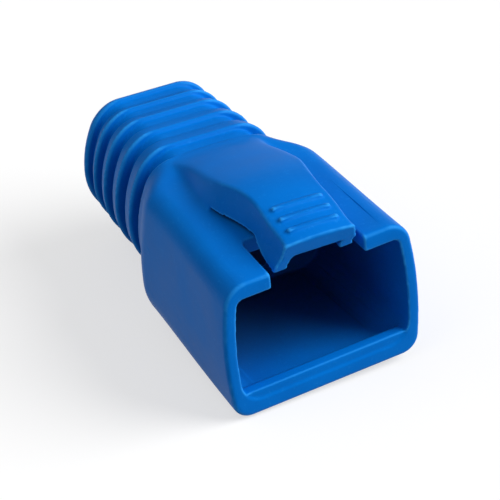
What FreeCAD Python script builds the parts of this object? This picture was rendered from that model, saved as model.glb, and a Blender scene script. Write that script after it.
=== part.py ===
import FreeCAD, Part
import math
import os
import Sketcher

# Strain relief boot for a modular plug, moulded in one piece of soft plastic.
# It lies on its flat underside.  X is its width, with the symmetry plane at
# X = 0.  The plug goes in at the mouth, which faces -Y, and the cable leaves
# through the ribbed neck towards +Y.  Lengths are in millimetres.

doc = FreeCAD.newDocument("StrainReliefBoot")

# --- driving sizes ------------------------------------------------------------
SIZES = [
    # lengths along the boot
    ("shell_long", 12.2, "from the mouth to where the shell starts to narrow"),
    ("flare_long", 3.2, "narrowing stretch, up to the groove before the neck"),
    # shell, outside
    ("shell_high", 10.1, "underside to top"),
    ("mouth_half", 7.15, "half width at the mouth, at the belly of the side"),
    ("shell_half", 6.9, "half width where the narrowing starts"),
    ("side_round", 26.0, "radius of the bulged sides"),
    ("belly_high", 4.6, "height of the widest place of a side"),
    ("shoulder_round", 1.7, "outer top corners at the mouth"),
    ("shoulder_rear_round", 1.6, "outer top corners at the rear of the shell"),
    ("sole_round", 1.3, "outer bottom corners at the mouth"),
    ("sole_rear_round", 3.2, "outer bottom corners at the rear of the shell"),
    ("mouth_rim_round", 0.25, "rounding of the outer edge of the mouth"),
    ("sole_trim", 0.04, "depth trimmed off to leave a flat underside"),
    # shell, inside
    ("side_wall", 0.85, "side wall at the mouth"),
    ("roof_wall", 1.15, "wall over the cavity"),
    ("floor_wall", 1.0, "wall under the cavity"),
    ("cavity_round", 0.5, "inner top corners"),
    ("cavity_sole_round", 1.6, "inner bottom corners"),
    ("cavity_long", 12.0, "depth of the plug cavity"),
    ("lip_high", 1.75, "top of the lip at the mouth"),
    ("lip_deep", 0.75, "flat top of the lip"),
    ("lip_run", 0.8, "slope behind the lip"),
    ("lip_inset", 0.08, "lip face behind the rim face"),
    # latch slot
    ("slot_half", 3.42, "half width of the slot in the roof"),
    ("slot_long", 4.25, "from the mouth to the rear of the slot"),
    ("slot_round", 0.45, "rear corners of the slot"),
    # latch guard tongue
    ("tip_gap", 0.05, "tip of the tongue behind the mouth face"),
    ("crest_high", 2.45, "top of the arch over the shell"),
    ("crest_back", 5.5, "arch crest behind the mouth"),
    ("arch_slope", 0.26, "slope of the two legs of the arch"),
    ("arch_soft", 2.0, "softness of the crest"),
    ("crown", 0.2, "rise of the middle of the tongue over its edges"),
    ("tongue_half", 2.85, "half width at the height of the shell's top"),
    ("root_half", 3.95, "the same where the tongue meets the shell"),
    ("root_end_half", 3.2, "the same at the end of the root"),
    ("tongue_lean", 0.2, "inward lean of the sides for each mm of height"),
    ("root_lean", 0.5, "the same at the root, which slopes into the shell"),
    ("tongue_thick", 1.1, "plate of the tongue"),
    ("skirt_thick", 1.0, "side skirts under the plate"),
    ("skirt_deep", 1.85, "skirt foot under the tongue's tip"),
    ("tip_lean", 16.0, "lean of the tip face, degrees"),
    ("channel_lean", 0.15, "inward lean of the skirts' inner faces"),
    ("tongue_edge_round", 0.3, "rounding of the tongue's long top edges"),
    ("root_deep", 0.8, "depth to which the tongue's root is set into the roof"),
    ("lift", 0.25, "gap between a skirt's foot and the shell"),
    ("skirt_long", 8.4, "from the mouth to where the tongue joins the shell"),
    # grip bars
    ("bar_first", 1.0, "first bar behind the tip"),
    ("bar_pitch", 1.05, "spacing of the bars"),
    ("bar_wide", 0.36, "width of a bar"),
    ("bar_half", 1.85, "half length of a bar"),
    ("bar_high", 0.14, "height of a bar over the tongue"),
    # neck
    ("neck_axis", 5.5, "height of the cable's centre"),
    ("rib_half", 5.75, "half width of the first rib"),
    ("rib_end_half", 5.2, "half width of the last rib"),
    ("rib_rise", 5.1, "first rib over the cable's centre"),
    ("rib_end_rise", 4.8, "last rib over the cable's centre"),
    ("rib_drop", 4.9, "first rib under the cable's centre"),
    ("rib_end_drop", 4.6, "last rib under the cable's centre"),
    ("core_half", 4.75, "half width of the bare neck before the first rib"),
    ("core_end_half", 4.45, "the same at the cable end"),
    ("core_rise", 4.85, "bare neck over the cable's centre, before the first rib"),
    ("core_end_rise", 4.55, "the same at the cable end"),
    ("core_drop", 4.4, "bare neck under the cable's centre, before the first rib"),
    ("core_end_drop", 4.25, "the same at the cable end"),
    ("rib_shoulder", 2.3, "top corners of the ribs"),
    ("rib_sole", 4.6, "bottom corners of the ribs"),
    ("core_shoulder", 1.8, "top corners of the neck between the ribs"),
    ("core_sole", 3.8, "bottom corners of the neck between the ribs"),
    ("groove_first", 1.05, "groove between the shell and the first rib"),
    ("core_sunk", 0.5, "length of the neck's core that is set into the shell"),
    ("flare_step", 0.05, "the shell's rear edge is this much narrower than the first rib"),
    ("flare_drop", 0.25, "the shell's rear edge is this much lower than the first rib"),
    ("rib_side_round", 9.0, "radius of a rib's bulged sides"),
    ("rib_pitch", 2.3, "first rib to the second"),
    ("pitch_less", 0.25, "each next spacing is this much less"),
    ("end_rib_long", 0.75, "last rib, which ends at the cable end"),
    ("rib_share", 0.62, "share of a spacing that the rib fills"),
    ("rib_slope", 0.2, "height that a rib's top loses towards its rear"),
    ("rib_edge_round", 0.15, "rounding of a rib's front edge"),
    ("rib_back_round", 0.35, "rounding of a rib's rear edge"),
    ("rim_round", 0.45, "rounding of the neck's rear rim"),
    ("bore_round", 3.75, "radius of the cable bore"),
    ("bore_flare", 0.3, "bevel at the rear end of the bore"),
    ("funnel_round", 3.9, "radius where the funnel leaves the cavity"),
]

ALIASES = [row[0] for row in SIZES]

sheet = doc.addObject("Spreadsheet::Sheet", "Sizes")
for row, (alias, value, note) in enumerate(SIZES, start=1):
    sheet.set("A%d" % row, alias)
    sheet.set("B%d" % row, str(value))
    sheet.set("C%d" % row, note)
    sheet.setAlias("B%d" % row, alias)
doc.recompute()


def number(expression):
    """The present value of an expression in the sheet's words."""
    value = sheet.evalExpression(expression)
    return float(getattr(value, "Value", value))


def bound(expression):
    """The same expression with each word tied to the sheet."""
    text = expression
    for alias in sorted(ALIASES, key=len, reverse=True):
        text = text.replace(alias, "@" + str(ALIASES.index(alias)) + "@")
    for index, alias in enumerate(ALIASES):
        text = text.replace("@%d@" % index, "<<Sizes>>." + alias)
    return text


RIBS = 5
SHELL_REAR = "(shell_long + flare_long)"


def rib_place(index):
    """Front edge of a rib behind the mouth."""
    return "(%s + groove_first + %d * rib_pitch - %d * pitch_less)" % (
        SHELL_REAR, index, sum(range(index)))


ALL_LONG = "(%s + end_rib_long)" % rib_place(RIBS - 1)


# --- sketch helpers -----------------------------------------------------------
def plane_of(body, role):
    for feature in body.Origin.OriginFeatures:
        if feature.Role == role:
            return feature


def cross_sketch(body, name, back):
    """A sketch across the boot, `back` behind the mouth; its x is X, its y is Z."""
    sketch = body.newObject("Sketcher::SketchObject", name)
    sketch.AttachmentSupport = (plane_of(body, "XZ_Plane"), [""])
    sketch.MapMode = "FlatFace"
    place = "%s / 2 - (%s)" % (ALL_LONG, back)
    sketch.AttachmentOffset.Base.z = number(place)
    sketch.setExpression("AttachmentOffset.Base.z", bound(place))
    return sketch


def side_sketch(body, name):
    """A sketch in the symmetry plane; its x is Y from the boot's middle, its y is Z."""
    sketch = body.newObject("Sketcher::SketchObject", name)
    sketch.AttachmentSupport = (plane_of(body, "YZ_Plane"), [""])
    sketch.MapMode = "FlatFace"
    return sketch


def top_sketch(body, name, high):
    """A level sketch at the given height; its x is X, its y is Y."""
    sketch = body.newObject("Sketcher::SketchObject", name)
    sketch.AttachmentSupport = (plane_of(body, "XY_Plane"), [""])
    sketch.MapMode = "FlatFace"
    sketch.AttachmentOffset.Base.z = number(high)
    sketch.setExpression("AttachmentOffset.Base.z", bound(high))
    return sketch


def tie(sketch, kind, *items):
    """Adds a constraint whose last item is an expression."""
    expression = items[-1]
    index = sketch.addConstraint(Sketcher.Constraint(kind, *items[:-1], number(expression)))
    sketch.setExpression("Constraints[%d]" % index, bound(expression))


def rule(sketch, kind, *items):
    sketch.addConstraint(Sketcher.Constraint(kind, *items))


def arc(cx, cy, radius, start, end):
    circle = Part.Circle(FreeCAD.Vector(cx, cy, 0), FreeCAD.Vector(0, 0, 1), radius)
    return Part.ArcOfCircle(circle, start, end)


def line(x1, y1, x2, y2):
    return Part.LineSegment(FreeCAD.Vector(x1, y1, 0), FreeCAD.Vector(x2, y2, 0))


def bulged_box(body, name, back, half, top, low, top_round, low_round, bulge, belly):
    """A box section with bulged sides and rounded corners, standing across the boot."""
    sketch = cross_sketch(body, name, back)
    w, zt, zl = number(half), number(top), number(low)
    rt, rl, r, zb = number(top_round), number(low_round), number(bulge), number(belly)
    cx = w - r
    tx = cx + math.sqrt((r - rt) ** 2 - (zt - rt - zb) ** 2)
    lx = cx + math.sqrt((r - rl) ** 2 - (zb - zl - rl) ** 2)
    up = math.atan2(zt - rt - zb, tx - cx)
    down = math.atan2(zl + rl - zb, lx - cx)
    right, left = 0.0, math.pi
    quarter = math.pi / 2
    sketch.addGeometry([
        line(-lx, zl, lx, zl),
        arc(lx, zl + rl, rl, -quarter, right + down),
        arc(cx, zb, r, down, up),
        arc(tx, zt - rt, rt, up, quarter),
        line(tx, zt, -tx, zt),
        arc(-tx, zt - rt, rt, quarter, left - up),
        arc(-cx, zb, r, left - up, left - down),
        arc(-lx, zl + rl, rl, left - down, left + quarter),
    ], False)
    for here in range(8):
        rule(sketch, "Tangent", here, 2, (here + 1) % 8, 1)
    rule(sketch, "Horizontal", 0)
    rule(sketch, "Horizontal", 4)
    rule(sketch, "Equal", 1, 7)
    rule(sketch, "Equal", 3, 5)
    rule(sketch, "Equal", 2, 6)
    rule(sketch, "Symmetric", 6, 3, 2, 3, -2)
    tie(sketch, "DistanceX", 2, 3, 6, 3, "2 * (%s - (%s))" % (bulge, half))
    tie(sketch, "DistanceY", -1, 1, 2, 3, belly)
    tie(sketch, "Radius", 2, bulge)
    tie(sketch, "Radius", 3, top_round)
    tie(sketch, "Radius", 1, low_round)
    tie(sketch, "DistanceY", 0, 1, 4, 1, "%s - (%s)" % (top, low))
    if number(low) > 0:
        tie(sketch, "DistanceY", -1, 1, 0, 1, low)
    elif number(low) < 0:
        tie(sketch, "DistanceY", 0, 1, -1, 1, "-(%s)" % low)
    else:
        rule(sketch, "PointOnObject", 0, 1, -1)
    return sketch


def loft(body, kind, name, sections, ruled=False):
    feature = body.newObject(kind, name)
    feature.Profile = (sections[0], [""])
    feature.Sections = [(section, [""]) for section in sections[1:]]
    feature.Ruled = ruled
    for section in sections:
        section.Visibility = False
    doc.recompute()
    return feature


# --- the moulding -------------------------------------------------------------
boot = doc.addObject("PartDesign::Body", "strain_relief_boot")
boot.Label = "strain_relief_boot"
doc.recompute()


def blend(first, last, share):
    """An expression between two others, by a share from 0 to 1."""
    return "((%s) + ((%s) - (%s)) * %s)" % (first, last, first, share)


def quarter_turn(steps):
    """Steps of a rounding of radius 1: the way along, and the way in from the side."""
    angles = [math.pi / 2 * index / steps for index in range(steps + 1)]
    return [(1 - math.cos(angle), 1 - math.sin(angle)) for angle in angles]


def soft(share):
    """The share eased at both ends."""
    return share * share * (3 - 2 * share)


def shell_loft():
    """The drafted shell, then the stretch that narrows smoothly to the groove."""
    def shell_section(name, share):
        return bulged_box(
            boot, name, blend("mouth_rim_round", "shell_long", share),
            blend("mouth_half", "shell_half", share), "shell_high", "-sole_trim",
            blend("shoulder_round", "shoulder_rear_round", share),
            blend("sole_round", "sole_rear_round", share), "side_round", "belly_high")

    def rim_section(name, along, inward):
        inset = "mouth_rim_round * %.4f" % inward
        return bulged_box(
            boot, name, "mouth_rim_round * %.4f" % along,
            "mouth_half - " + inset, "shell_high - " + inset, inset + " - sole_trim",
            "shoulder_round - " + inset, "sole_round - " + inset,
            "side_round - " + inset, "belly_high")

    def flare_section(name, share):
        eased = soft(share)
        return bulged_box(
            boot, name, "shell_long + flare_long * %s" % share,
            blend("shell_half", "rib_half - flare_step", eased),
            blend("shell_high", "neck_axis + rib_rise - flare_drop", eased), "-sole_trim",
            blend("shoulder_rear_round", "rib_shoulder", eased),
            blend("sole_rear_round", "rib_sole", eased),
            blend("side_round", "rib_side_round", eased),
            blend("belly_high", "neck_axis", eased))

    rim = [rim_section("RimSection%d" % index, along, inward)
           for index, (along, inward) in enumerate(quarter_turn(3)[:-1])]
    rim += [shell_section("ShellMouth", 0.0), shell_section("ShellRear", 1.0)]
    loft(boot, "PartDesign::AdditiveLoft", "Shell", rim, True)
    steps = [flare_section("Flare%d" % index, index / 4) for index in range(5)]
    loft(boot, "PartDesign::AdditiveLoft", "Flare", steps)


def flat_sole():
    """Trims the underside to the plane that the boot lies on."""
    sketch = top_sketch(boot, "SoleOutline", "0")
    wide, long = "mouth_half + 1", "%s / 2 + 1" % ALL_LONG
    w, l = number(wide), number(long)
    sketch.addGeometry([
        line(-w, -l, w, -l), line(w, -l, w, l), line(w, l, -w, l), line(-w, l, -w, -l)], False)
    for here in range(4):
        rule(sketch, "Coincident", here, 2, (here + 1) % 4, 1)
    rule(sketch, "Horizontal", 2)
    rule(sketch, "Vertical", 3)
    rule(sketch, "Symmetric", 0, 1, 0, 2, -2)
    rule(sketch, "Symmetric", 0, 2, 1, 2, -1)
    tie(sketch, "DistanceX", 0, 1, 0, 2, "2 * (%s)" % wide)
    tie(sketch, "DistanceY", 1, 1, 1, 2, "2 * (%s)" % long)
    trim = boot.newObject("PartDesign::Pocket", "FlatSole")
    trim.Profile = sketch
    trim.Length = number("2 * sole_trim")
    trim.setExpression("Length", bound("2 * sole_trim"))
    sketch.Visibility = False
    doc.recompute()


def neck_section(name, back, half, rise, drop, shoulder, sole, inset="0"):
    """A section of the neck, set in by `inset` all round."""
    return bulged_box(boot, name, back, "%s - (%s)" % (half, inset),
                      "neck_axis + %s - (%s)" % (rise, inset),
                      "neck_axis - %s + (%s)" % (drop, inset),
                      "%s - (%s)" % (shoulder, inset), "%s - (%s)" % (sole, inset),
                      "rib_side_round - (%s)" % inset, "neck_axis")


def neck_core():
    sections = [
        neck_section("CoreFront", SHELL_REAR + " - core_sunk", "core_half", "core_rise",
                     "core_drop", "core_shoulder", "core_sole"),
        neck_section("CoreRear", ALL_LONG + " - rim_round", "core_end_half", "core_end_rise",
                     "core_end_drop", "core_shoulder", "core_sole"),
    ]
    loft(boot, "PartDesign::AdditiveLoft", "NeckCore", sections, True)


def neck_ribs():
    """Ribs with a sloping top, the last of them straight to the cable end."""
    for index in range(RIBS):
        share = index / (RIBS - 1)
        front = rib_place(index)
        half = blend("rib_half", "rib_end_half", share)
        rise = blend("rib_rise", "rib_end_rise", share)
        drop = blend("rib_drop", "rib_end_drop", share)
        last = index == RIBS - 1
        back = ALL_LONG if last else (
            "(%s + (rib_pitch - %d * pitch_less) * rib_share)" % (front, index))
        slope, rear_round = ("0", "rim_round") if last else ("rib_slope", "rib_back_round")
        steps = [("%s + rib_edge_round * %.4f" % (front, along), "rib_edge_round * %.4f" % inward)
                 for along, inward in quarter_turn(1)]
        steps += [("%s - %s * %.4f" % (back, rear_round, along),
                   "%s + %s * %.4f" % (slope, rear_round, inward))
                  for along, inward in reversed(quarter_turn(2))]
        sections = [
            neck_section("Rib%dSection%d" % (index, step), spot, half, rise, drop,
                         "rib_shoulder", "rib_sole", inset)
            for step, (spot, inset) in enumerate(steps)]
        loft(boot, "PartDesign::AdditiveLoft", "Rib%d" % index, sections, True)


def cavity():
    """The room for the plug, open at the mouth, and the way through to the cable."""
    room = bulged_box(boot, "CavityOutline", "0", "mouth_half - side_wall",
                      "shell_high - roof_wall", "floor_wall", "cavity_round",
                      "cavity_sole_round", "side_round - side_wall", "belly_high")
    pocket = boot.newObject("PartDesign::Pocket", "Cavity")
    pocket.Profile = room
    pocket.Length = number("cavity_long")
    pocket.setExpression("Length", bound("cavity_long"))
    room.Visibility = False
    doc.recompute()

    sketch = side_sketch(boot, "BoreProfile")
    front = "(cavity_long - 0.1)"
    corners = [
        (front, "neck_axis"),
        (front, "neck_axis + funnel_round"),
        (SHELL_REAR, "neck_axis + bore_round"),
        (ALL_LONG + " - bore_flare", "neck_axis + bore_round"),
        (ALL_LONG, "neck_axis + bore_round + bore_flare"),
        (ALL_LONG + " + 1", "neck_axis + bore_round + bore_flare"),
        (ALL_LONG + " + 1", "neck_axis"),
    ]
    outline(sketch, corners)
    axis = sketch.addGeometry(line(-20, number("neck_axis"), 20, number("neck_axis")), True)
    rule(sketch, "Horizontal", axis)
    rule(sketch, "PointOnObject", 0, 1, axis)
    bore = boot.newObject("PartDesign::Groove", "Bore")
    bore.Profile = sketch
    bore.ReferenceAxis = (sketch, ["Axis0"])
    bore.Angle = 360
    sketch.Visibility = False
    doc.recompute()


def outline(sketch, corners):
    """A closed outline of straight lines in a side sketch, tied corner by corner."""
    count = len(corners)
    spots = [(number("%s - %s / 2" % (back, ALL_LONG)), number(high)) for back, high in corners]
    sketch.addGeometry([
        line(*spots[here], *spots[(here + 1) % count]) for here in range(count)], False)
    for here in range(count):
        rule(sketch, "Coincident", here, 2, (here + 1) % count, 1)
    for here, (back, high) in enumerate(corners):
        place(sketch, here, 1, "%s - %s / 2" % (back, ALL_LONG), high)


def place(sketch, geometry, point, across, up):
    """Ties a point to its place from the sketch's origin."""
    if number(across) < 0:
        tie(sketch, "DistanceX", geometry, point, -1, 1, "-(%s)" % across)
    else:
        tie(sketch, "DistanceX", -1, 1, geometry, point, across)
    tie(sketch, "DistanceY", -1, 1, geometry, point, up)


def lip():
    """The bar across the foot of the mouth that holds the plug in."""
    sketch = side_sketch(boot, "LipProfile")
    outline(sketch, [
        ("lip_inset", "floor_wall - 0.3"),
        ("lip_inset", "lip_high"),
        ("lip_inset + lip_deep", "lip_high"),
        ("lip_inset + lip_deep + lip_run", "floor_wall"),
        ("lip_inset + lip_deep + lip_run", "floor_wall - 0.3"),
    ])
    bar = boot.newObject("PartDesign::Pad", "Lip")
    bar.Profile = sketch
    bar.SideType = "Symmetric"
    wide = "2 * (mouth_half - side_wall + 0.1)"
    bar.Length = number(wide)
    bar.setExpression("Length", bound(wide))
    sketch.Visibility = False
    doc.recompute()


def latch_slot():
    """The slot in the roof in which the plug's latch moves, open to the mouth."""
    sketch = top_sketch(boot, "SlotOutline", "shell_high + 0.5")
    half, front = number("slot_half"), number("-%s / 2 - 0.5" % ALL_LONG)
    back, r = number("slot_long - %s / 2" % ALL_LONG), number("slot_round")
    sketch.addGeometry([
        line(-half, front, half, front),
        line(half, front, half, back - r),
        arc(half - r, back - r, r, 0, math.pi / 2),
        line(half - r, back, r - half, back),
        arc(r - half, back - r, r, math.pi / 2, math.pi),
        line(-half, back - r, -half, front),
    ], False)
    rule(sketch, "Coincident", 0, 2, 1, 1)
    for here in range(1, 5):
        rule(sketch, "Tangent", here, 2, here + 1, 1)
    rule(sketch, "Coincident", 5, 2, 0, 1)
    rule(sketch, "Horizontal", 3)
    rule(sketch, "Vertical", 1)
    rule(sketch, "Equal", 2, 4)
    rule(sketch, "Symmetric", 0, 1, 0, 2, -2)
    tie(sketch, "DistanceX", 0, 1, 0, 2, "2 * slot_half")
    tie(sketch, "Radius", 2, "slot_round")
    tie(sketch, "DistanceY", 3, 1, -1, 1, "%s / 2 - slot_long" % ALL_LONG)
    tie(sketch, "DistanceY", 0, 1, -1, 1, "%s / 2 + 0.5" % ALL_LONG)
    slot = boot.newObject("PartDesign::Pocket", "LatchSlot")
    slot.Profile = sketch
    deep = "roof_wall + 1"
    slot.Length = number(deep)
    slot.setExpression("Length", bound(deep))
    sketch.Visibility = False
    doc.recompute()


# --- the latch guard ----------------------------------------------------------
def arch(back):
    """Height of the middle of the tongue's top, `back` behind the mouth."""
    return ("(shell_high + crest_high - arch_slope * "
            "(sqrt((%s - crest_back)^2 + arch_soft^2) - arch_soft))" % back)


def eased(back, start, end):
    """A share that rises softly from 0 to 1 between two places behind the mouth."""
    share = "min(1; max(0; (%s - %s) / (%s - %s)))" % (back, start, end, start)
    return "((%s)^2 * (3 - 2 * (%s)))" % (share, share)


def toward_root(back):
    """0 at the free part of the tongue, 1 where it meets the shell."""
    return eased(back, "skirt_long / 2", "skirt_long * 1.1")


def base_half(back):
    """Half width of the tongue at the height of the shell's top."""
    return "(tongue_half + (root_half - tongue_half) * %s - (root_half - root_end_half) * %s)" % (
        toward_root(back), eased(back, "skirt_long", SHELL_REAR))


def side_lean(back):
    """Inward lean of the tongue's sides."""
    return "(tongue_lean + (root_lean - tongue_lean) * %s)" % toward_root(back)


def leaning_box(body, name, back, half, top, low, lean):
    """A plain section with sides that lean inward."""
    sketch = cross_sketch(body, name, back)
    foot = "((%s) + %s * (shell_high - (%s)))" % (half, lean, low)
    head = "((%s) + %s * (shell_high - (%s)))" % (half, lean, top)
    zl, zt, wl, wt = number(low), number(top), number(foot), number(head)
    sketch.addGeometry([
        line(-wl, zl, wl, zl), line(wl, zl, wt, zt),
        line(wt, zt, -wt, zt), line(-wt, zt, -wl, zl)], False)
    for here in range(4):
        rule(sketch, "Coincident", here, 2, (here + 1) % 4, 1)
    rule(sketch, "Symmetric", 0, 1, 0, 2, -2)
    rule(sketch, "Symmetric", 3, 1, 1, 2, -2)
    tie(sketch, "DistanceX", 0, 1, 0, 2, "2 * " + foot)
    tie(sketch, "DistanceX", 3, 1, 1, 2, "2 * " + head)
    tie(sketch, "DistanceY", -1, 1, 0, 1, low)
    tie(sketch, "DistanceY", -1, 1, 1, 2, top)
    return sketch


def crowned_box(body, name, back, half, top, low, lean):
    """The same with a crowned top and rounded top edges; `top` is its middle."""
    sketch = cross_sketch(body, name, back)
    foot = "((%s) + %s * (shell_high - (%s)))" % (half, lean, low)
    head = "((%s) + %s * (shell_high - (%s - crown)))" % (half, lean, top)
    bow = "((%s^2 + crown^2) / (2 * crown))" % head
    zl, wl, r = number(low), number(foot), number("tongue_edge_round")
    big, tilt = number(bow), math.atan(number(lean))
    heart = FreeCAD.Vector(0, number(top) - big, 0)
    base = FreeCAD.Vector(wl, zl, 0)
    along = FreeCAD.Vector(-math.sin(tilt), math.cos(tilt), 0)
    inward = FreeCAD.Vector(-math.cos(tilt), -math.sin(tilt), 0)
    start = base + inward * r - heart
    reach = -start.dot(along) + math.sqrt(
        start.dot(along) ** 2 - start.dot(start) + (big - r) ** 2)
    centre = heart + start + along * reach
    side_end = centre - inward * r
    spread = math.atan2(centre.x, centre.y - heart.y)
    quarter = math.pi / 2
    sketch.addGeometry([
        line(-wl, zl, wl, zl),
        line(wl, zl, side_end.x, side_end.y),
        arc(centre.x, centre.y, r, tilt, quarter - spread),
        arc(0, heart.y, big, quarter - spread, quarter + spread),
        arc(-centre.x, centre.y, r, quarter + spread, 2 * quarter - tilt),
        line(-side_end.x, side_end.y, -wl, zl),
    ], False)
    rule(sketch, "Coincident", 0, 2, 1, 1)
    for here in range(1, 5):
        rule(sketch, "Tangent", here, 2, here + 1, 1)
    rule(sketch, "Coincident", 5, 2, 0, 1)
    rule(sketch, "Symmetric", 0, 1, 0, 2, -2)
    rule(sketch, "Equal", 2, 4)
    rule(sketch, "Equal", 1, 5)
    rule(sketch, "PointOnObject", 3, 3, -2)
    tie(sketch, "Radius", 2, "tongue_edge_round")
    tie(sketch, "Radius", 3, bow)
    tie(sketch, "DistanceX", 0, 1, 0, 2, "2 * " + foot)
    tie(sketch, "DistanceY", -1, 1, 0, 1, low)
    tie(sketch, "DistanceY", 3, 3, 0, 1, "%s - (%s - %s)" % (low, top, bow))
    lean_angle = "90deg + atan(%s)" % lean
    index = sketch.addConstraint(
        Sketcher.Constraint("Angle", 1, math.radians(number(lean_angle))))
    sketch.setExpression("Constraints[%d]" % index, bound(lean_angle))
    return sketch


def tongue():
    """The arched tongue over the latch, with its two skirts."""
    body = doc.addObject("PartDesign::Body", "LatchGuard")
    doc.recompute()
    sections = []
    steps = 7
    for index in range(steps + 1):
        back = "(tip_gap + (%s - 0.1 - tip_gap) * %d / %d)" % (SHELL_REAR, index, steps)
        sections.append(crowned_box(
            body, "TongueSection%d" % index, back, base_half(back), arch(back),
            "shell_high - root_deep", side_lean(back)))
    loft(body, "PartDesign::AdditiveLoft", "Arch", sections)

    sketch = side_sketch(body, "UnderProfile")
    tip_top = "(%s - crown)" % arch("tip_gap")
    lean = "tan(tip_lean * 1deg)"
    outline(sketch, [
        ("-2", "shell_high + crest_high + 1"),
        ("tip_gap - (shell_high + crest_high + 1 - %s) * %s" % (tip_top, lean),
         "shell_high + crest_high + 1"),
        ("tip_gap + skirt_deep * %s" % lean, "%s - skirt_deep" % tip_top),
        ("slot_long - lift", "shell_high + lift"),
        ("skirt_long", "shell_high + lift"),
        ("skirt_long", "shell_high - root_deep - 1"),
        ("-2", "shell_high - root_deep - 1"),
    ])
    under = body.newObject("PartDesign::Pocket", "UnderCut")
    under.Profile = sketch
    under.SideType = "Symmetric"
    under.Length = 40
    sketch.Visibility = False
    doc.recompute()

    sections = []
    for index in range(5):
        back = "(skirt_long * %s - 0.8 * %s)" % (index / 4, 1 - index / 4)
        sections.append(leaning_box(
            body, "ChannelSection%d" % index, back, "tongue_half - skirt_thick",
            "%s - crown - tongue_thick" % arch(back), "shell_high - root_deep - 1",
            "channel_lean"))
    loft(body, "PartDesign::SubtractiveLoft", "Channel", sections)
    return body


def join(body):
    """Welds the tongue to the shell."""
    weld = boot.newObject("PartDesign::Boolean", "Weld")
    weld.Type = "Fuse"
    weld.Group = [body]
    doc.recompute()


def grip_bars(body, count=3):
    """Raised bars across the tongue, near its tip."""
    for index in range(count):
        back = "(tip_gap + bar_first + %d * bar_pitch)" % index
        low = "shell_high + 0.6"
        sketch = top_sketch(body, "BarOutline%d" % index, low)
        half = number("bar_half - bar_wide / 2")
        r = number("bar_wide / 2")
        y = number("%s - %s / 2" % (back, ALL_LONG))
        quarter = math.pi / 2
        sketch.addGeometry([
            line(-half, y - r, half, y - r),
            arc(half, y, r, -quarter, quarter),
            line(half, y + r, -half, y + r),
            arc(-half, y, r, quarter, 3 * quarter),
        ], False)
        for here in range(4):
            rule(sketch, "Tangent", here, 2, (here + 1) % 4, 1)
        rule(sketch, "Equal", 1, 3)
        rule(sketch, "Symmetric", 0, 1, 0, 2, -2)
        tie(sketch, "DistanceX", 0, 1, 0, 2, "2 * bar_half - bar_wide")
        tie(sketch, "Radius", 1, "bar_wide / 2")
        tie(sketch, "DistanceY", 1, 3, -1, 1, "%s / 2 - %s" % (ALL_LONG, back))
        bar = body.newObject("PartDesign::Pad", "Bar%d" % index)
        bar.Profile = sketch
        high = "%s + bar_high - (%s)" % (arch(back), low)
        bar.Length = number(high)
        bar.setExpression("Length", bound(high))
        sketch.Visibility = False
        doc.recompute()


shell_loft()
flat_sole()
neck_core()
neck_ribs()
cavity()
lip()
latch_slot()
guard = tongue()
grip_bars(guard)
join(guard)


# --- check and write ----------------------------------------------------------
doc.recompute()
for item in doc.Objects:
    if "Invalid" in item.State or "Error" in item.State:
        raise RuntimeError("%s did not build" % item.Name)
    if item.TypeId.startswith("PartDesign::") and hasattr(item, "Shape"):
        if item.Shape.isNull() or not item.Shape.isValid():
            raise RuntimeError("%s has no sound shape" % item.Name)
shape = boot.Shape
os.makedirs("parts", exist_ok=True)
shape.exportStep("parts/strain_relief_boot.step")
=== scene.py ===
import math

import bpy
import numpy as np
from mathutils import Matrix, Vector

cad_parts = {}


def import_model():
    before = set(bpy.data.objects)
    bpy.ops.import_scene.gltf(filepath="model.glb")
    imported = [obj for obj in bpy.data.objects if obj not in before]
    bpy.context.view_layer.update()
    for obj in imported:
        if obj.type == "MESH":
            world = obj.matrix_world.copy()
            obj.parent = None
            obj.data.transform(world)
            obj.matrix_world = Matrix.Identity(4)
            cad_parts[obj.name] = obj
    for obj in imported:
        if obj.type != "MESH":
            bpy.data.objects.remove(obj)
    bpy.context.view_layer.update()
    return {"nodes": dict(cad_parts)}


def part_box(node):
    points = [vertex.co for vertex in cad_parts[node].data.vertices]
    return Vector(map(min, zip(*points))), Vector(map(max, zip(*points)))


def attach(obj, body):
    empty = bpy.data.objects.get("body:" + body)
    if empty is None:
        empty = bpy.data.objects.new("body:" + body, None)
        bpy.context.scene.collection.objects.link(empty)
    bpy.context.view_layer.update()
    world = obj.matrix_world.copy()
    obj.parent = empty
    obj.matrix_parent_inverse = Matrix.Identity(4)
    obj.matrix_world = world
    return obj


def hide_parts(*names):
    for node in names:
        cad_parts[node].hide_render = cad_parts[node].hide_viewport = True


# Looks of the strain relief boot: its moulded skin with soft edges, a satin
# blue plastic, a pale floor, studio light and the camera.

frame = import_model()

NODE = "strain_relief_boot"
MM = 0.001
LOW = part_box(NODE)[0]
MOUTH = LOW.y / MM          # mm, place of the mouth's face along Y


# --- the moulded skin -----------------------------------------------------------
# Lengths are in mm. Back counts from the mouth's face towards the neck, height
# from the underside, and a half runs from the middle plane to one side.
WELD_REACH = 0.0005         # CAD points as close as this become one
SKIN_VOXEL = 0.085          # grid on which the skin is drawn
SKIN_FACES = 180000         # triangles kept
SMOOTHING = 0.5             # share of the way to its neighbours that a point goes in a round
SKIN_SMOOTH = 6             # rounds of smoothing, which give the edges their radius

ROOT_SMOOTH = 110           # further rounds on the tongue's root
ROOT_FROM = 8.2             # back, start of the softened root
ROOT_TO = 15.2              # back, its end
ROOT_FADE = 1.6             # over which the softening sets in and ends
ROOT_LOW = 9.7              # height from which the root is softened
ROOT_LOW_FADE = 0.3
ROOT_HALF = 5.2             # half of the softened width
ROOT_HALF_FADE = 1.0
ROOT_LEAST = 0.01           # softness under which a point is left out

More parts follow.
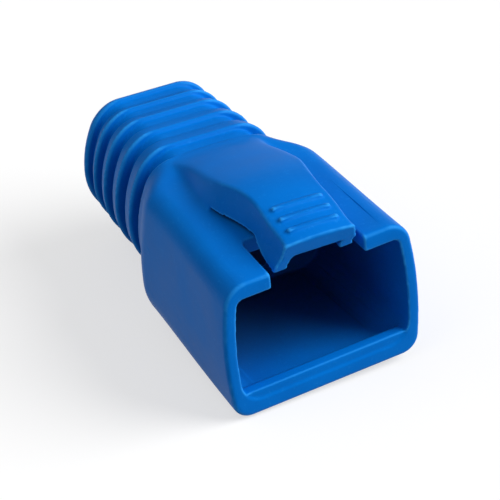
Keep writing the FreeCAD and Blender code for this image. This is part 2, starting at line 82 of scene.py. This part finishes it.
LIP_STEP = 0.08             # from the rim's face to the lip's face
LIP_FADE = 0.3              # over which the step comes
LIP_STARTED = 0.4           # share of that width that lies outside the opening's outline
LIP_MARGIN = 0.4            # how far outside the outline the face is evened too
LIP_DEEP = 0.22             # back, the deepest point that counts as face
LIP_LOW = 0.45              # height, foot of the evened face
LIP_HIGH = 1.64             # height, its top
LIP_HALF = 6.8
CORNER_ROUND = 1.6          # inner bottom corners of the mouth
CORNER_X = 4.7              # half, to their centres
CORNER_Z = 2.6              # height of their centres

CROWN = 0.16                # how much higher the neck's top is in its middle
CROWN_HALF = 3.1            # half, to where the crown crosses the CAD top
CROWN_DROP = 1.2            # largest drop beyond that, in crowns
CROWN_FROM = 14.5           # back, start of the crowned neck
CROWN_FADE = 3.0
CROWN_LOW = 7.0             # height from which the crown grows
CROWN_LOW_FADE = 3.0

TWIST = 4.0                 # degrees that the soft moulding is twisted, mouth to neck
TWIST_LONG = 10.0           # back, to where the shell twists
TWIST_AXIS = 6.0            # height of the axis of the twist
TONGUE_LOW = 9.9            # height from which the tongue turns with the neck
TONGUE_LOW_FADE = 0.5
TONGUE_HALF = 3.35
BEND = 0.35                 # how far the neck leans to the side
BEND_LONG = 12.0            # back, to where it leans

EDGE_SPREAD = 4             # rounds that even out the noted sharpness of edges
EDGE_SHORTEST = 1e-9        # mm2, least squared length of an edge


def part_way(distance, whole):
    """The share from 0 to 1 that a distance has of a whole."""
    return np.clip(distance / whole, 0, 1)


def eased(share):
    """A share from 0 to 1, eased at both ends."""
    share = np.clip(share, 0, 1)
    return share * share * (3 - 2 * share)


def modifier(piece, kind, **settings):
    """Gives a piece one modifier."""
    made = piece.modifiers.new(kind.lower(), kind)
    for name, value in settings.items():
        setattr(made, name, value)


def bake(piece):
    """Applies the modifiers of a piece."""
    bpy.context.view_layer.update()
    graph = bpy.context.evaluated_depsgraph_get()
    piece.data = bpy.data.meshes.new_from_object(piece.evaluated_get(graph))
    piece.modifiers.clear()


def points_of(piece):
    """The vertices of a piece, one row each."""
    points = np.empty(len(piece.data.vertices) * 3)
    piece.data.vertices.foreach_get("co", points)
    return points.reshape(-1, 3)


def place_points(piece, points):
    """Moves the vertices of a piece to new places."""
    piece.data.vertices.foreach_set("co", points.ravel())
    piece.data.update()


def root_softness(piece):
    """How much each vertex belongs to the tongue's root, from 0 to 1."""
    x, y, z = points_of(piece).T
    back = y - MOUTH
    along = part_way(back - ROOT_FROM, ROOT_FADE) * part_way(ROOT_TO - back, ROOT_FADE)
    upward = part_way(z - ROOT_LOW, ROOT_LOW_FADE)
    across = part_way(ROOT_HALF - np.abs(x), ROOT_HALF_FADE)
    return along * upward * across


def skin():
    """The moulding as one soft skin, drawn in millimetres from the CAD solid."""
    mesh = frame["nodes"][NODE].data.copy()
    mesh.transform(Matrix.Scale(1 / MM, 4))
    piece = bpy.data.objects.new("boot_skin", mesh)
    bpy.context.scene.collection.objects.link(piece)

    modifier(piece, "WELD", merge_threshold=WELD_REACH)
    modifier(piece, "REMESH", mode="VOXEL", voxel_size=SKIN_VOXEL)
    modifier(piece, "SMOOTH", factor=SMOOTHING, iterations=SKIN_SMOOTH)
    bake(piece)

    softness = root_softness(piece)
    group = piece.vertex_groups.new(name="root")
    for index in np.flatnonzero(softness > ROOT_LEAST):
        group.add([int(index)], float(softness[index]), "REPLACE")
    triangles = sum(len(face.vertices) - 2 for face in piece.data.polygons)
    modifier(piece, "SMOOTH", factor=SMOOTHING, iterations=ROOT_SMOOTH, vertex_group=group.name)
    modifier(piece, "DECIMATE", ratio=min(1, SKIN_FACES / triangles))
    bake(piece)
    return piece


def even_lip(piece):
    """Draws the shallow step between the mouth's rim and the lip's face cleanly."""
    points = points_of(piece)
    x, y, z = points.T
    x = np.abs(x)
    beyond_x, beyond_z = np.maximum(x - CORNER_X, 0), np.maximum(CORNER_Z - z, 0)
    inside = CORNER_ROUND - np.hypot(beyond_x, beyond_z)
    face = (y - MOUTH < LIP_DEEP) & (inside > -LIP_MARGIN)
    face &= (z > LIP_LOW) & (z < LIP_HIGH) & (x < LIP_HALF)
    step = LIP_STEP * eased(inside / LIP_FADE + LIP_STARTED)
    points[face, 1] = (MOUTH + step)[face]
    place_points(piece, points)


def note_edges(piece):
    """Keeps on each vertex how sharply the skin is bent there, in 1/mm, as "edge"."""
    mesh = piece.data
    points = points_of(piece)
    count = len(points)
    normals = np.empty(count * 3)
    mesh.vertices.foreach_get("normal", normals)
    normals = normals.reshape(-1, 3)
    ends = np.empty(len(mesh.edges) * 2, dtype=np.int32)
    mesh.edges.foreach_get("vertices", ends)
    first, last = ends.reshape(-1, 2).T
    way = points[last] - points[first]
    far = np.maximum((way ** 2).sum(axis=1), EDGE_SHORTEST)
    near = np.maximum(np.bincount(first, minlength=count)
                      + np.bincount(last, minlength=count), 1)
    bent = np.bincount(first, -2 * (way * normals[first]).sum(axis=1) / far, count)
    bent += np.bincount(last, 2 * (way * normals[last]).sum(axis=1) / far, count)
    bent /= near
    for step in range(EDGE_SPREAD):
        around = np.bincount(first, bent[last], count) + np.bincount(last, bent[first], count)
        bent = (bent + around / near) / 2
    mesh.attributes.new("edge", "FLOAT", "POINT").data.foreach_set("value", bent)


def lean(piece):
    """Crowns the neck, and twists and bends the skin a little, as the soft moulding lies."""
    points = points_of(piece)
    x, y, z = points.T.copy()
    back = y - MOUTH
    crown = CROWN * np.maximum(1 - (x / CROWN_HALF) ** 2, -CROWN_DROP)
    crown = crown * eased((back - CROWN_FROM) / CROWN_FADE)
    z = z + crown * part_way(z - CROWN_LOW, CROWN_LOW_FADE)
    on_tongue = part_way(z - TONGUE_LOW, TONGUE_LOW_FADE) * (np.abs(x) < TONGUE_HALF)
    turned = np.maximum(eased(back / TWIST_LONG), on_tongue)
    turn = np.radians(TWIST) * (turned - 0.5)
    rise = z - TWIST_AXIS
    points[:, 0] = x * np.cos(turn) + rise * np.sin(turn) + BEND * eased(back / BEND_LONG)
    points[:, 2] = TWIST_AXIS - x * np.sin(turn) + rise * np.cos(turn)
    place_points(piece, points)


def even_shade(piece):
    """Smooth shading in which broad faces count more than slivers."""
    for face in piece.data.polygons:
        face.use_smooth = True
    modifier(piece, "WEIGHTED_NORMAL", mode="FACE_AREA")
    bake(piece)


boot = skin()
even_lip(boot)
note_edges(boot)
lean(boot)
boot.data.transform(Matrix.Scale(MM, 4))
even_shade(boot)
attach(boot, "root")
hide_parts(NODE)


# --- materials ------------------------------------------------------------------
BLUE = (0.0, 0.185, 0.71, 1)
DARK_BLUE = (0.0, 0.165, 0.65, 1)
CLOUD_SCALE = 260.0                     # 1/m, of the clouds between the two blues
CLOUD_DETAIL = 3.0
CLOUD_LOW = 0.35                        # noise of the darker blue
CLOUD_HIGH = 0.65                       # noise of the lighter blue

HIGHLIGHT_AND_SPECK_BLUE = (0.03, 0.36, 0.95, 1)       # painted highlight on sharply bent edges, and the lighter blue of specks in the grain
EDGE_FLAT = 1.0                         # 1/mm, bend at which the painted highlight on an edge starts
EDGE_SHARP = 3.0                        # 1/mm, bend at which the painted edge highlight is fullest
EDGE_HIGHLIGHT = 0.7                       # share of the painted highlight on such an edge
SPECK_SCALE = 3200.0                    # 1/m
SPECK_DETAIL = 4.0
SPECK_ROUGH = 0.65
SPECK_LOW = 0.58                        # noise at which a speck starts
SPECK_HIGH = 0.76                       # noise of its middle
SPECK_STRENGTH = 0.22

PAINTED_SHADE_BLUE = (0.015, 0.05, 0.13, 1)      # painted shade in hollows and deep grooves
HOLLOW_REACH = 0.014                    # m, how far the painted shade in hollows reaches
HOLLOW_RAYS = 16
HOLLOW_SHUT = 0.02                      # openness at which the painted shade is darkest
HOLLOW_OPEN = 0.36                      # openness from which no shade is painted

ROUGH_NOISE = (0.3, 0.7)                # cloud noise of the least and the greatest roughness
ROUGHNESS = (0.42, 0.50)
BUMP_SCALE = 2600.0                     # 1/m
BUMP_DETAIL = 3.0
BUMP_ROUGH = 0.6
BUMP_STRENGTH = 0.22
BUMP_HEIGHT = 0.00002                   # m
PLASTIC_IOR = 1.45
PLASTIC_SHEEN = 0.15                    # strength of the mirrored light
PLASTIC_TINT = (0.15, 0.6, 1.0, 1)      # colour of the mirrored light


def material(name):
    """A new material, its node tree and its shader."""
    made = bpy.data.materials.new(name)
    made.use_nodes = True
    return made, made.node_tree, made.node_tree.nodes["Principled BSDF"]


def noise(tree, place, scale, detail, rough=0.5):
    """Noise over a place, with features about 1 / scale across."""
    made = tree.nodes.new("ShaderNodeTexNoise")
    made.inputs["Scale"].default_value = scale
    made.inputs["Detail"].default_value = detail
    made.inputs["Roughness"].default_value = rough
    tree.links.new(place, made.inputs["Vector"])
    return made.outputs["Fac"]


def between(tree, value, low, high, first, last):
    """Goes from first to last while the value goes from low to high."""
    made = tree.nodes.new("ShaderNodeMapRange")
    made.inputs["From Min"].default_value = low
    made.inputs["From Max"].default_value = high
    made.inputs["To Min"].default_value = first
    made.inputs["To Max"].default_value = last
    tree.links.new(value, made.inputs["Value"])
    return made.outputs["Result"]


def mixed(tree, share, first, last):
    """The colour a share of the way from first to last, each a colour or a node's output."""
    made = tree.nodes.new("ShaderNodeMix")
    made.data_type = "RGBA"
    tree.links.new(share, made.inputs["Factor"])
    for name, colour in (("A", first), ("B", last)):
        if isinstance(colour, tuple):
            made.inputs[name].default_value = colour
        else:
            tree.links.new(colour, made.inputs[name])
    return made.outputs["Result"]


def openness(tree):
    """How open to its surroundings a point of the object itself is, from 0 to 1."""
    made = tree.nodes.new("ShaderNodeAmbientOcclusion")
    made.samples = HOLLOW_RAYS
    made.only_local = True
    made.inputs["Distance"].default_value = HOLLOW_REACH
    return made.outputs["AO"]


def plastic_colour(tree, place, clouds):
    """Cloudy blue with lighter specks in the grain, a painted highlight on sharply bent edges,
    and painted shade in hollows.
    """
    ramp = tree.nodes.new("ShaderNodeValToRGB")
    darker, lighter = ramp.color_ramp.elements
    darker.position, darker.color = CLOUD_LOW, DARK_BLUE
    lighter.position, lighter.color = CLOUD_HIGH, BLUE
    tree.links.new(clouds, ramp.inputs["Fac"])
    grain = noise(tree, place, SPECK_SCALE, SPECK_DETAIL, SPECK_ROUGH)
    speck = between(tree, grain, SPECK_LOW, SPECK_HIGH, 0.0, SPECK_STRENGTH)
    colour = mixed(tree, speck, ramp.outputs["Color"], HIGHLIGHT_AND_SPECK_BLUE)
    # Painted highlight: lighter blue where the skin bends sharply, standing in for light caught
    # on edges.
    edges = tree.nodes.new("ShaderNodeAttribute")
    edges.attribute_name = "edge"
    edge_highlight = between(tree, edges.outputs["Fac"], EDGE_FLAT, EDGE_SHARP, 0.0, EDGE_HIGHLIGHT)
    colour = mixed(tree, edge_highlight, colour, HIGHLIGHT_AND_SPECK_BLUE)
    # Painted shade: darker blue in hollows where little of the surroundings is open.
    lit = between(tree, openness(tree), HOLLOW_SHUT, HOLLOW_OPEN, 0.0, 1.0)
    return mixed(tree, lit, PAINTED_SHADE_BLUE, colour)


def blue_plastic():
    """Satin blue plastic with a fine grain, a painted highlight on bent edges and painted shade
    in hollows.
    """
    made, tree, shader = material("soft_blue_plastic")
    place = tree.nodes.new("ShaderNodeTexCoord").outputs["Object"]
    clouds = noise(tree, place, CLOUD_SCALE, CLOUD_DETAIL)
    tree.links.new(plastic_colour(tree, place, clouds), shader.inputs["Base Color"])
    tree.links.new(between(tree, clouds, *ROUGH_NOISE, *ROUGHNESS), shader.inputs["Roughness"])
    bump = tree.nodes.new("ShaderNodeBump")
    bump.inputs["Strength"].default_value = BUMP_STRENGTH
    bump.inputs["Distance"].default_value = BUMP_HEIGHT
    tree.links.new(noise(tree, place, BUMP_SCALE, BUMP_DETAIL, BUMP_ROUGH), bump.inputs["Height"])
    tree.links.new(bump.outputs["Normal"], shader.inputs["Normal"])
    shader.inputs["IOR"].default_value = PLASTIC_IOR
    shader.inputs["Specular IOR Level"].default_value = PLASTIC_SHEEN
    shader.inputs["Specular Tint"].default_value = PLASTIC_TINT
    return made


plastic = blue_plastic()
for piece in (boot, frame["nodes"][NODE]):
    piece.data.materials.clear()
    piece.data.materials.append(plastic)


# --- floor, light, camera ---------------------------------------------------------
FLOOR_HALF = 0.6                        # m, from its middle to each side
FLOOR_DROP = 0.0004                     # m under the object
FLOOR_WHITE = (0.45, 0.45, 0.45, 1)     # what the camera sees of it
FLOOR_GLOW = 0.6                        # the part of the white that takes no shadow
FLOOR_BOUNCE = (0.3, 0.3, 0.3, 1)       # what the floor throws back on the object
FLOOR_ROUGH = 0.9

KEY_FROM = Vector((0.69, -0.45, 0.58))
KEY_STRENGTH = 3.2
KEY_WIDE = 46.0                         # degrees across the light
FILL_FROM = Vector((-0.66, 0.05, 0.75))
FILL_STRENGTH = 0.55
FILL_WIDE = 60.0                        # degrees
WHITE = (1, 1, 1, 1)
SKY_STRENGTH = 0.2

VIEW_AZIMUTH = -26.83                   # degrees from the mouth's own direction
VIEW_RISE = 32.59                       # degrees
VIEW_ROLL = 4.10                        # degrees
VIEW_FAR = 200.0                        # mm from the pivot
VIEW_PIVOT = Vector((0, 10.0, 5.0))     # mm, counted from the mouth
VIEW_ASIDE = Vector((0.163, 0.101))     # mm that the camera stands aside, right and up
VIEW_ZOOM = 6.0308                      # focal length in sensor widths
SENSOR = 36.0                           # mm
SEEN_FROM = 0.01                        # m
SEEN_TO = 10.0                          # m


def math_node(tree, operation, first, second):
    """Adds or multiplies an output with an output or a number."""
    made = tree.nodes.new("ShaderNodeMath")
    made.operation = operation
    tree.links.new(first, made.inputs[0])
    if isinstance(second, float):
        made.inputs[1].default_value = second
    else:
        tree.links.new(second, made.inputs[1])
    return made


def floor_white():
    """A white that glows a little where it is seen, and throws little light back."""
    made, tree, shader = material("pale_floor")
    path = tree.nodes.new("ShaderNodeLightPath").outputs
    shiny = math_node(tree, "ADD", path["Is Glossy Ray"], path["Is Transmission Ray"])
    seen = math_node(tree, "ADD", path["Is Camera Ray"], shiny.outputs["Value"])
    seen.use_clamp = True
    seen = seen.outputs["Value"]
    glow = math_node(tree, "MULTIPLY", seen, FLOOR_GLOW)
    tree.links.new(mixed(tree, seen, FLOOR_BOUNCE, FLOOR_WHITE), shader.inputs["Base Color"])
    tree.links.new(glow.outputs["Value"], shader.inputs["Emission Strength"])
    shader.inputs["Emission Color"].default_value = WHITE
    shader.inputs["Roughness"].default_value = FLOOR_ROUGH
    shader.inputs["Specular IOR Level"].default_value = 0.0
    return made


def floor():
    """The surface that the object lies on."""
    half = FLOOR_HALF
    mesh = bpy.data.meshes.new("floor")
    mesh.from_pydata([(-half, -half, 0), (half, -half, 0), (half, half, 0), (-half, half, 0)],
                     [], [(0, 1, 2, 3)])
    mesh.materials.append(floor_white())
    piece = bpy.data.objects.new("floor", mesh)
    piece.location = (0, 0, LOW.z - FLOOR_DROP)
    bpy.context.scene.collection.objects.link(piece)


def soft_light(name, toward, strength, wide):
    """A broad soft light from far away."""
    data = bpy.data.lights.new(name, "SUN")
    data.energy = strength
    data.angle = math.radians(wide)
    piece = bpy.data.objects.new(name, data)
    piece.rotation_euler = toward.to_track_quat("Z", "Y").to_euler()
    bpy.context.scene.collection.objects.link(piece)


def world():
    """An even white sky."""
    made = bpy.data.worlds.new("studio")
    made.use_nodes = True
    back = made.node_tree.nodes["Background"]
    back.inputs["Color"].default_value = WHITE
    back.inputs["Strength"].default_value = SKY_STRENGTH
    bpy.context.scene.world = made


def camera():
    """Looks down into the mouth from the front left, a little rolled."""
    azimuth, rise, roll = (math.radians(v) for v in (VIEW_AZIMUTH, VIEW_RISE, VIEW_ROLL))
    back = Vector((math.sin(azimuth) * math.cos(rise), -math.cos(azimuth) * math.cos(rise),
                   math.sin(rise)))
    right = Vector((math.cos(azimuth), math.sin(azimuth), 0))
    up = back.cross(right)
    right, up = (right * math.cos(roll) - up * math.sin(roll),
                 right * math.sin(roll) + up * math.cos(roll))
    pivot = VIEW_PIVOT + Vector((0, MOUTH, 0))
    place = pivot + right * VIEW_ASIDE.x + up * VIEW_ASIDE.y + back * VIEW_FAR
    data = bpy.data.cameras.new("camera")
    data.sensor_width = SENSOR
    data.lens = SENSOR * VIEW_ZOOM
    data.clip_start = SEEN_FROM
    data.clip_end = SEEN_TO
    piece = bpy.data.objects.new("camera", data)
    turn = Matrix((right, up, back)).transposed().to_4x4()
    piece.matrix_world = Matrix.Translation(place * MM) @ turn
    bpy.context.scene.collection.objects.link(piece)
    bpy.context.scene.camera = piece


floor()
world()
soft_light("key", KEY_FROM, KEY_STRENGTH, KEY_WIDE)
soft_light("fill", FILL_FROM, FILL_STRENGTH, FILL_WIDE)
camera()

bpy.context.scene.view_settings.view_transform = "Standard"
